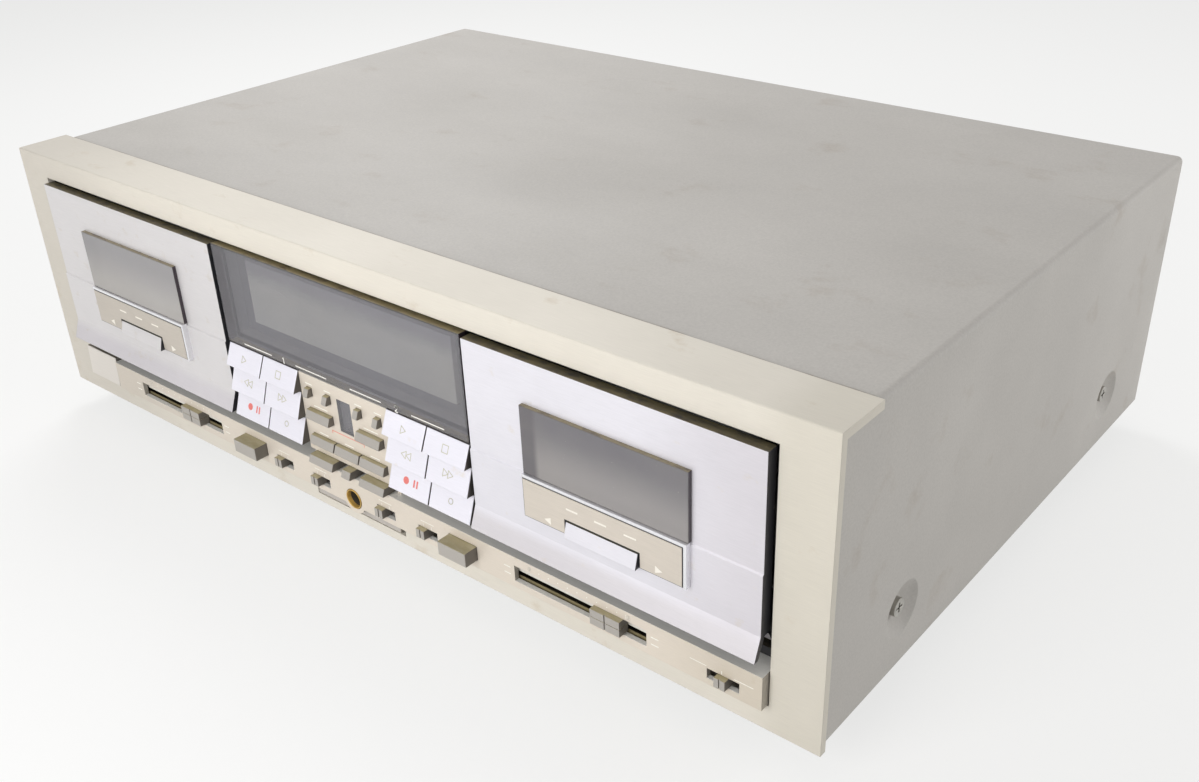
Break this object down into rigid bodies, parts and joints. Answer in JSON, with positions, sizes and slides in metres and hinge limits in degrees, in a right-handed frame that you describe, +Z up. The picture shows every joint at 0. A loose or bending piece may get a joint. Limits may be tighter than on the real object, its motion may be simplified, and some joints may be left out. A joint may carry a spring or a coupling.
{
  "type": "cassette duplicator",
  "caption": "Twin cassette deck for copying tapes: flat metal case, two tilting tape doors, display, transport keys, slide controls and a headphone socket.",
  "frame": {"origin": "centre of the footprint, on the surface that the feet stand on", "axes": "+X to the right seen from the front, along the front panel; +Y to the back; +Z up"},
  "size_m": [0.435, 0.3038, 0.132],
  "materials": {
    "panel_aluminium": "anodised champagne silver, fine satin",
    "painted_steel": "satin paint, fine grain",
    "plated_steel": "zinc plated sheet",
    "screw_steel": "plated",
    "black_plastic": "moulded, matt",
    "panel_plastic": "metallic champagne lacquer",
    "door_plastic": "silver lacquer, satin",
    "key_plastic": "silver white lacquer, satin",
    "button_plastic": "moulded grey, satin",
    "smoked_acrylic": "smoked clear acrylic, polished",
    "tube_glass": "dark glass",
    "bezel_aluminium": "brushed plate with a bright bevelled rim",
    "circuit_board": "phenolic board with parts",
    "socket_metal": "nickel plated",
    "jack_brass": "polished brass",
    "spindle_plastic": "moulded"
  },
  "bodies": {
    "case": {"front_fascia": "panel_aluminium", "front_frame": "black_plastic", "control_panel": "panel_plastic", "display_window": "smoked_acrylic", "display_tube": "tube_glass", "top_cover": "painted_steel", "bottom_chassis": "plated_steel", "rear_panel": "painted_steel", "feet": "black_plastic", "cover_screws": "screw_steel", "main_board": "circuit_board", "rear_jacks": "socket_metal", "headphone_jack": "jack_brass", "tape_mechanisms": "plated_steel"},
    "door_1": {"deck_1_door": "door_plastic", "deck_1_window": "smoked_acrylic", "deck_1_bezel": "bezel_aluminium"},
    "reel_1_left": {"reel_1_left": "spindle_plastic"},
    "reel_1_right": {"reel_1_right": "spindle_plastic"},
    "eject_button_1": {"eject_button_1": "button_plastic"},
    "key_1_play": {"key_1_play": "key_plastic"},
    "key_1_stop": {"key_1_stop": "key_plastic"},
    "key_1_rewind": {"key_1_rewind": "key_plastic"},
    "key_1_forward": {"key_1_forward": "key_plastic"},
    "key_1_record": {"key_1_record": "key_plastic"},
    "key_1_mute": {"key_1_mute": "key_plastic"},
    "level_1_left": {"level_1_left": "button_plastic"},
    "level_1_right": {"level_1_right": "button_plastic"},
    "door_2": {"deck_2_door": "door_plastic", "deck_2_window": "smoked_acrylic", "deck_2_bezel": "bezel_aluminium"},
    "reel_2_left": {"reel_2_left": "spindle_plastic"},
    "reel_2_right": {"reel_2_right": "spindle_plastic"},
    "eject_button_2": {"eject_button_2": "button_plastic"},
    "key_2_play": {"key_2_play": "key_plastic"},
    "key_2_stop": {"key_2_stop": "key_plastic"},
    "key_2_rewind": {"key_2_rewind": "key_plastic"},
    "key_2_forward": {"key_2_forward": "key_plastic"},
    "key_2_record": {"key_2_record": "key_plastic"},
    "key_2_mute": {"key_2_mute": "key_plastic"},
    "level_2_left": {"level_2_left": "button_plastic"},
    "level_2_right": {"level_2_right": "button_plastic"},
    "button_reset_1": {"button_reset_1": "button_plastic"},
    "button_memory_1": {"button_memory_1": "button_plastic"},
    "button_memory_2": {"button_memory_2": "button_plastic"},
    "button_reset_2": {"button_reset_2": "button_plastic"},
    "button_counter_1": {"button_counter_1": "button_plastic"},
    "button_counter_2": {"button_counter_2": "button_plastic"},
    "button_mode_left": {"button_mode_left": "button_plastic"},
    "button_mode_middle": {"button_mode_middle": "button_plastic"},
    "button_mode_right": {"button_mode_right": "button_plastic"},
    "button_dub_start": {"button_dub_start": "button_plastic"},
    "button_dub_speed": {"button_dub_speed": "button_plastic"},
    "button_search": {"button_search": "button_plastic"},
    "power_button": {"power_button": "panel_aluminium"},
    "switch_tape_1": {"switch_tape_1": "button_plastic"},
    "switch_noise_1": {"switch_noise_1": "button_plastic"},
    "switch_noise_2": {"switch_noise_2": "button_plastic"},
    "switch_tape_2": {"switch_tape_2": "button_plastic"},
    "switch_timer": {"switch_timer": "button_plastic"}
  },
  "joints": [
    {"name": "door_1_tilt", "type": "hinge", "parent": "case", "child": "door_1", "pos_m": [-0.1339, -0.1319, 0.046], "axis": [1, 0, 0], "range_deg": [0, 22]},
    {"name": "reel_1_left_spin", "type": "hinge", "parent": "case", "child": "reel_1_left", "pos_m": [-0.15515, -0.1249, 0.0901], "axis": [0, 1, 0], "continuous": true},
    {"name": "reel_1_right_spin", "type": "hinge", "parent": "case", "child": "reel_1_right", "pos_m": [-0.11265, -0.1249, 0.0901], "axis": [0, 1, 0], "continuous": true},
    {"name": "eject_1_press", "type": "slide", "parent": "case", "child": "eject_button_1", "axis": [0, 1, 0], "range_m": [0, 0.004], "stiffness_N_per_m": 400},
    {"name": "key_1_play_press", "type": "slide", "parent": "case", "child": "key_1_play", "axis": [0, 1, 0], "range_m": [0, 0.0015], "stiffness_N_per_m": 300},
    {"name": "key_1_stop_press", "type": "slide", "parent": "case", "child": "key_1_stop", "axis": [0, 1, 0], "range_m": [0, 0.0015], "stiffness_N_per_m": 300},
    {"name": "key_1_rewind_press", "type": "slide", "parent": "case", "child": "key_1_rewind", "axis": [0, 1, 0], "range_m": [0, 0.0015], "stiffness_N_per_m": 300},
    {"name": "key_1_forward_press", "type": "slide", "parent": "case", "child": "key_1_forward", "axis": [0, 1, 0], "range_m": [0, 0.0015], "stiffness_N_per_m": 300},
    {"name": "key_1_record_press", "type": "slide", "parent": "case", "child": "key_1_record", "axis": [0, 1, 0], "range_m": [0, 0.0015], "stiffness_N_per_m": 300},
    {"name": "key_1_mute_press", "type": "slide", "parent": "case", "child": "key_1_mute", "axis": [0, 1, 0], "range_m": [0, 0.0015], "stiffness_N_per_m": 300},
    {"name": "level_1_left_slide", "type": "slide", "parent": "case", "child": "level_1_left", "axis": [1, 0, 0], "range_m": [-0.03375, 0.01375]},
    {"name": "level_1_right_slide", "type": "slide", "parent": "case", "child": "level_1_right", "axis": [1, 0, 0], "range_m": [-0.03375, 0.01375]},
    {"name": "door_2_tilt", "type": "hinge", "parent": "case", "child": "door_2", "pos_m": [0.1339, -0.1319, 0.046], "axis": [1, 0, 0], "range_deg": [0, 22]},
    {"name": "reel_2_left_spin", "type": "hinge", "parent": "case", "child": "reel_2_left", "pos_m": [0.11265, -0.1249, 0.0901], "axis": [0, 1, 0], "continuous": true},
    {"name": "reel_2_right_spin", "type": "hinge", "parent": "case", "child": "reel_2_right", "pos_m": [0.15515, -0.1249, 0.0901], "axis": [0, 1, 0], "continuous": true},
    {"name": "eject_2_press", "type": "slide", "parent": "case", "child": "eject_button_2", "axis": [0, 1, 0], "range_m": [0, 0.004], "stiffness_N_per_m": 400},
    {"name": "key_2_play_press", "type": "slide", "parent": "case", "child": "key_2_play", "axis": [0, 1, 0], "range_m": [0, 0.0015], "stiffness_N_per_m": 300},
    {"name": "key_2_stop_press", "type": "slide", "parent": "case", "child": "key_2_stop", "axis": [0, 1, 0], "range_m": [0, 0.0015], "stiffness_N_per_m": 300},
    {"name": "key_2_rewind_press", "type": "slide", "parent": "case", "child": "key_2_rewind", "axis": [0, 1, 0], "range_m": [0, 0.0015], "stiffness_N_per_m": 300},
    {"name": "key_2_forward_press", "type": "slide", "parent": "case", "child": "key_2_forward", "axis": [0, 1, 0], "range_m": [0, 0.0015], "stiffness_N_per_m": 300},
    {"name": "key_2_record_press", "type": "slide", "parent": "case", "child": "key_2_record", "axis": [0, 1, 0], "range_m": [0, 0.0015], "stiffness_N_per_m": 300},
    {"name": "key_2_mute_press", "type": "slide", "parent": "case", "child": "key_2_mute", "axis": [0, 1, 0], "range_m": [0, 0.0015], "stiffness_N_per_m": 300},
    {"name": "level_2_left_slide", "type": "slide", "parent": "case", "child": "level_2_left", "axis": [1, 0, 0], "range_m": [-0.03765, 0.00985]},
    {"name": "level_2_right_slide", "type": "slide", "parent": "case", "child": "level_2_right", "axis": [1, 0, 0], "range_m": [-0.03765, 0.00985]},
    {"name": "button_reset_1_press", "type": "slide", "parent": "case", "child": "button_reset_1", "axis": [0, 1, 0], "range_m": [0, 0.001], "stiffness_N_per_m": 300},
    {"name": "button_memory_1_press", "type": "slide", "parent": "case", "child": "button_memory_1", "axis": [0, 1, 0], "range_m": [0, 0.001], "stiffness_N_per_m": 300},
    {"name": "button_memory_2_press", "type": "slide", "parent": "case", "child": "button_memory_2", "axis": [0, 1, 0], "range_m": [0, 0.001], "stiffness_N_per_m": 300},
    {"name": "button_reset_2_press", "type": "slide", "parent": "case", "child": "button_reset_2", "axis": [0, 1, 0], "range_m": [0, 0.001], "stiffness_N_per_m": 300},
    {"name": "button_counter_1_press", "type": "slide", "parent": "case", "child": "button_counter_1", "axis": [0, 1, 0], "range_m": [0, 0.001], "stiffness_N_per_m": 300},
    {"name": "button_counter_2_press", "type": "slide", "parent": "case", "child": "button_counter_2", "axis": [0, 1, 0], "range_m": [0, 0.001], "stiffness_N_per_m": 300},
    {"name": "button_mode_left_press", "type": "slide", "parent": "case", "child": "button_mode_left", "axis": [0, 1, 0], "range_m": [0, 0.001], "stiffness_N_per_m": 300},
    {"name": "button_mode_middle_press", "type": "slide", "parent": "case", "child": "button_mode_middle", "axis": [0, 1, 0], "range_m": [0, 0.001], "stiffness_N_per_m": 300},
    {"name": "button_mode_right_press", "type": "slide", "parent": "case", "child": "button_mode_right", "axis": [0, 1, 0], "range_m": [0, 0.001], "stiffness_N_per_m": 300},
    {"name": "button_dub_start_press", "type": "slide", "parent": "case", "child": "button_dub_start", "axis": [0, 1, 0], "range_m": [0, 0.001], "stiffness_N_per_m": 300},
    {"name": "button_dub_speed_press", "type": "slide", "parent": "case", "child": "button_dub_speed", "axis": [0, 1, 0], "range_m": [0, 0.001], "stiffness_N_per_m": 300},
    {"name": "button_search_press", "type": "slide", "parent": "case", "child": "button_search", "axis": [0, 1, 0], "range_m": [0, 0.001], "stiffness_N_per_m": 300},
    {"name": "power_press", "type": "slide", "parent": "case", "child": "power_button", "axis": [0, 1, 0], "range_m": [0, 0.003], "stiffness_N_per_m": 400},
    {"name": "switch_tape_1_slide", "type": "slide", "parent": "case", "child": "switch_tape_1", "axis": [1, 0, 0], "range_m": [0, 0.0044]},
    {"name": "switch_noise_1_slide", "type": "slide", "parent": "case", "child": "switch_noise_1", "axis": [1, 0, 0], "range_m": [0, 0.0044]},
    {"name": "switch_noise_2_slide", "type": "slide", "parent": "case", "child": "switch_noise_2", "axis": [1, 0, 0], "range_m": [0, 0.0044]},
    {"name": "switch_tape_2_slide", "type": "slide", "parent": "case", "child": "switch_tape_2", "axis": [1, 0, 0], "range_m": [0, 0.0044]},
    {"name": "switch_timer_slide", "type": "slide", "parent": "case", "child": "switch_timer", "axis": [1, 0, 0], "range_m": [-0.004, 0.004]}
  ]
}
